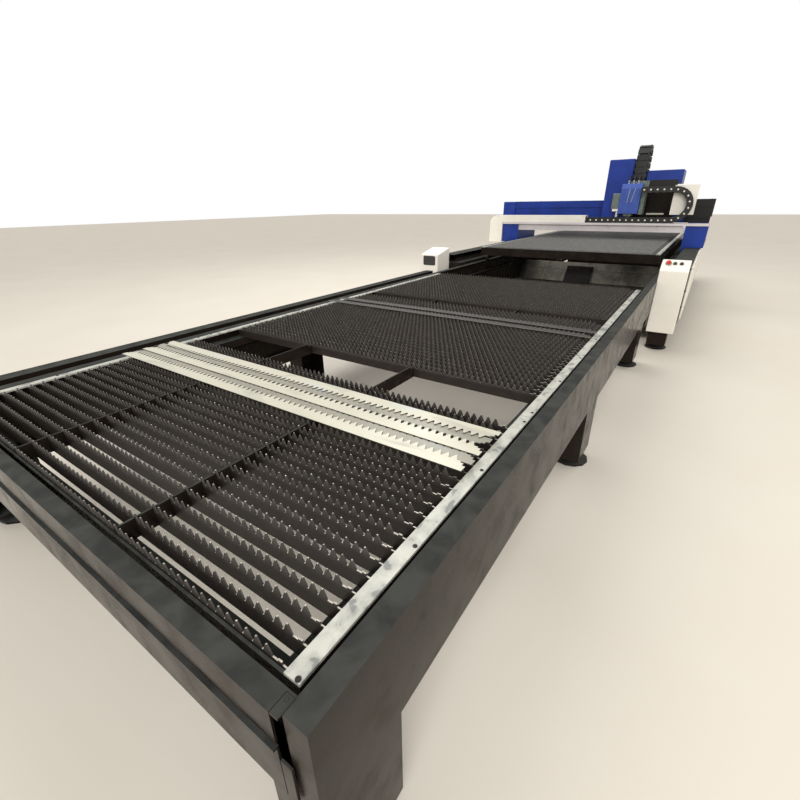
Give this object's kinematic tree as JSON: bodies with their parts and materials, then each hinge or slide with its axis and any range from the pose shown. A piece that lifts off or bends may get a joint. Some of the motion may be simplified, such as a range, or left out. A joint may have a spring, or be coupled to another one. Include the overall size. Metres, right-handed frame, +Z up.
{
  "type": "fiber laser cutting machine",
  "caption": "Open-bed fiber laser cutter with a gantry and a two-level shuttle table carrying slatted pallets.",
  "frame": {"origin": "on the floor under the middle of the machine's box", "axes": "+X to the machine's right seen from the shuttle table, +Y from the table to the bed, +Z up"},
  "size_m": [2.517, 8.414, 1.7792],
  "materials": {
    "satin_black": "satin black enamel on welded steel",
    "galvanised": "weathered galvanised strip",
    "new_galvanised": "new galvanised sheet with pale stains",
    "mill_steel": "hot rolled plate, dark scale with cut edges",
    "white_powder": "warm white powder coat",
    "blue_powder": "deep blue powder coat",
    "black_nylon": "moulded black nylon links",
    "ground_steel": "ground and oiled steel",
    "stainless": "dull folded sheet",
    "red_plastic": "red moulded plastic",
    "green_plastic": "green moulded plastic",
    "grey_enamel": "grey enamel",
    "polyurethane": "cast polyurethane wheel"
  },
  "bodies": {
    "machine": {"table_side_right": "satin_black", "table_side_left": "satin_black", "table_near_member": "satin_black", "table_middle_beam": "satin_black", "table_far_beam": "satin_black", "table_drive_motor": "grey_enamel", "bed_side_right": "satin_black", "bed_side_left": "satin_black", "bed_near_beam": "satin_black", "bed_far_plate": "satin_black", "guide_rail_right": "ground_steel", "guide_rail_left": "ground_steel", "side_cover_right": "white_powder", "side_cover_left": "white_powder", "control_column": "white_powder", "screen_column": "white_powder", "chip_divider": "stainless", "divider_gusset": "satin_black"},
    "drive_shaft": {"table_drive_shaft": "ground_steel"},
    "lower_pallet": {"lower_pallet_frame": "satin_black", "lower_slat_bed": "mill_steel", "lower_slat_bed_far": "mill_steel", "lower_strip_right": "galvanised", "lower_strip_left": "galvanised", "loose_slat_1": "new_galvanised", "loose_slat_2": "new_galvanised", "loose_slat_3": "new_galvanised", "loose_slat_4": "new_galvanised", "loose_slat_5": "new_galvanised"},
    "upper_pallet": {"upper_pallet_frame": "satin_black", "upper_slat_bed": "mill_steel", "upper_strip_right": "galvanised", "upper_strip_left": "galvanised"},
    "gantry": {"gantry_beam": "blue_powder", "gantry_end_right": "blue_powder", "gantry_end_left": "blue_powder", "gantry_tray": "white_powder", "gantry_hood": "white_powder", "tray_chain": "black_nylon"},
    "carriage": {"carriage_saddle": "satin_black", "chain_guide_plate": "white_powder", "tall_cover": "blue_powder", "motor_box": "blue_powder", "head_chain": "black_nylon"},
    "head": {"head_cover": "blue_powder", "cutting_head": "grey_enamel", "sensor_box": "grey_enamel"},
    "lower_wheel_near_right_axle": {"lower_wheel_near_right": "polyurethane"},
    "lower_wheel_near_left_axle": {"lower_wheel_near_left": "polyurethane"},
    "lower_wheel_far_right_axle": {"lower_wheel_far_right": "polyurethane"},
    "lower_wheel_far_left_axle": {"lower_wheel_far_left": "polyurethane"},
    "upper_wheel_near_right_axle": {"upper_wheel_near_right": "polyurethane"},
    "upper_wheel_near_left_axle": {"upper_wheel_near_left": "polyurethane"},
    "upper_wheel_far_right_axle": {"upper_wheel_far_right": "polyurethane"},
    "upper_wheel_far_left_axle": {"upper_wheel_far_left": "polyurethane"},
    "chip_drawer_near_slide": {"chip_drawer_near": "stainless"},
    "chip_drawer_far_slide": {"chip_drawer_far": "stainless"},
    "emergency_stop_press": {"emergency_stop": "red_plastic"},
    "start_button_press": {"start_button": "green_plastic"},
    "pause_button_press": {"pause_button": "grey_enamel"}
  },
  "joints": [
    {"name": "lower_pallet_shuttle", "type": "slide", "parent": "machine", "child": "lower_pallet", "axis": [0, 1, 0], "range_m": [0, 4.42]},
    {"name": "upper_pallet_shuttle", "type": "slide", "parent": "machine", "child": "upper_pallet", "axis": [0, 1, 0], "range_m": [-4.42, 0]},
    {"name": "lower_wheel_near_right_spin", "type": "hinge", "parent": "lower_pallet", "child": "lower_wheel_near_right_axle", "pos_m": [0.9805, -3.913, 0.5003], "axis": [1, 0, 0], "continuous": true},
    {"name": "lower_wheel_near_left_spin", "type": "hinge", "parent": "lower_pallet", "child": "lower_wheel_near_left_axle", "pos_m": [-0.8035, -3.913, 0.5003], "axis": [1, 0, 0], "continuous": true},
    {"name": "lower_wheel_far_right_spin", "type": "hinge", "parent": "lower_pallet", "child": "lower_wheel_far_right_axle", "pos_m": [0.9805, -0.943, 0.5003], "axis": [1, 0, 0], "continuous": true},
    {"name": "lower_wheel_far_left_spin", "type": "hinge", "parent": "lower_pallet", "child": "lower_wheel_far_left_axle", "pos_m": [-0.8035, -0.943, 0.5003], "axis": [1, 0, 0], "continuous": true},
    {"name": "upper_wheel_near_right_spin", "type": "hinge", "parent": "upper_pallet", "child": "upper_wheel_near_right_axle", "pos_m": [0.9805, 0.507, 0.6243], "axis": [1, 0, 0], "continuous": true},
    {"name": "upper_wheel_near_left_spin", "type": "hinge", "parent": "upper_pallet", "child": "upper_wheel_near_left_axle", "pos_m": [-0.8035, 0.507, 0.6243], "axis": [1, 0, 0], "continuous": true},
    {"name": "upper_wheel_far_right_spin", "type": "hinge", "parent": "upper_pallet", "child": "upper_wheel_far_right_axle", "pos_m": [0.9805, 3.477, 0.6243], "axis": [1, 0, 0], "continuous": true},
    {"name": "upper_wheel_far_left_spin", "type": "hinge", "parent": "upper_pallet", "child": "upper_wheel_far_left_axle", "pos_m": [-0.8035, 3.477, 0.6243], "axis": [1, 0, 0], "continuous": true},
    {"name": "drive_shaft_spin", "type": "hinge", "parent": "machine", "child": "drive_shaft", "pos_m": [0.0885, -0.693, 0.4], "axis": [1, 0, 0], "continuous": true},
    {"name": "gantry_travel", "type": "slide", "parent": "machine", "child": "gantry", "axis": [0, 1, 0], "range_m": [-1.4, 1.8]},
    {"name": "carriage_travel", "type": "slide", "parent": "gantry", "child": "carriage", "axis": [1, 0, 0], "range_m": [-1.1, 0.39]},
    {"name": "head_lift", "type": "slide", "parent": "carriage", "child": "head", "axis": [0, 0, 1], "range_m": [-0.15, 0.03]},
    {"name": "emergency_stop_push", "type": "slide", "parent": "machine", "child": "emergency_stop_press", "axis": [0, 0.5948, -0.8038], "range_m": [0, 0.004], "stiffness_N_per_m": 400, "springref_m": -0.002},
    {"name": "start_button_push", "type": "slide", "parent": "machine", "child": "start_button_press", "axis": [0, 0.5948, -0.8038], "range_m": [0, 0.004], "stiffness_N_per_m": 400, "springref_m": -0.002},
    {"name": "pause_button_push", "type": "slide", "parent": "machine", "child": "pause_button_press", "axis": [0, 0.5948, -0.8038], "range_m": [0, 0.004], "stiffness_N_per_m": 400, "springref_m": -0.002},
    {"name": "chip_drawer_near_pull", "type": "slide", "parent": "machine", "child": "chip_drawer_near_slide", "axis": [1, 0, 0], "range_m": [0, 1]},
    {"name": "chip_drawer_far_pull", "type": "slide", "parent": "machine", "child": "chip_drawer_far_slide", "axis": [1, 0, 0], "range_m": [0, 1]}
  ],
  "couplings": [
    {"joint": "upper_pallet_shuttle", "follows": "lower_pallet_shuttle", "ratio": -1},
    {"joint": "lower_wheel_near_right_spin", "follows": "lower_pallet_shuttle", "rad_per_m": -33.333},
    {"joint": "lower_wheel_near_left_spin", "follows": "lower_pallet_shuttle", "rad_per_m": -33.333},
    {"joint": "lower_wheel_far_right_spin", "follows": "lower_pallet_shuttle", "rad_per_m": -33.333},
    {"joint": "lower_wheel_far_left_spin", "follows": "lower_pallet_shuttle", "rad_per_m": -33.333},
    {"joint": "upper_wheel_near_right_spin", "follows": "lower_pallet_shuttle", "rad_per_m": 28.571},
    {"joint": "upper_wheel_near_left_spin", "follows": "lower_pallet_shuttle", "rad_per_m": 28.571},
    {"joint": "upper_wheel_far_right_spin", "follows": "lower_pallet_shuttle", "rad_per_m": 28.571},
    {"joint": "upper_wheel_far_left_spin", "follows": "lower_pallet_shuttle", "rad_per_m": 28.571},
    {"joint": "drive_shaft_spin", "follows": "lower_pallet_shuttle", "rad_per_m": -22.222}
  ]
}
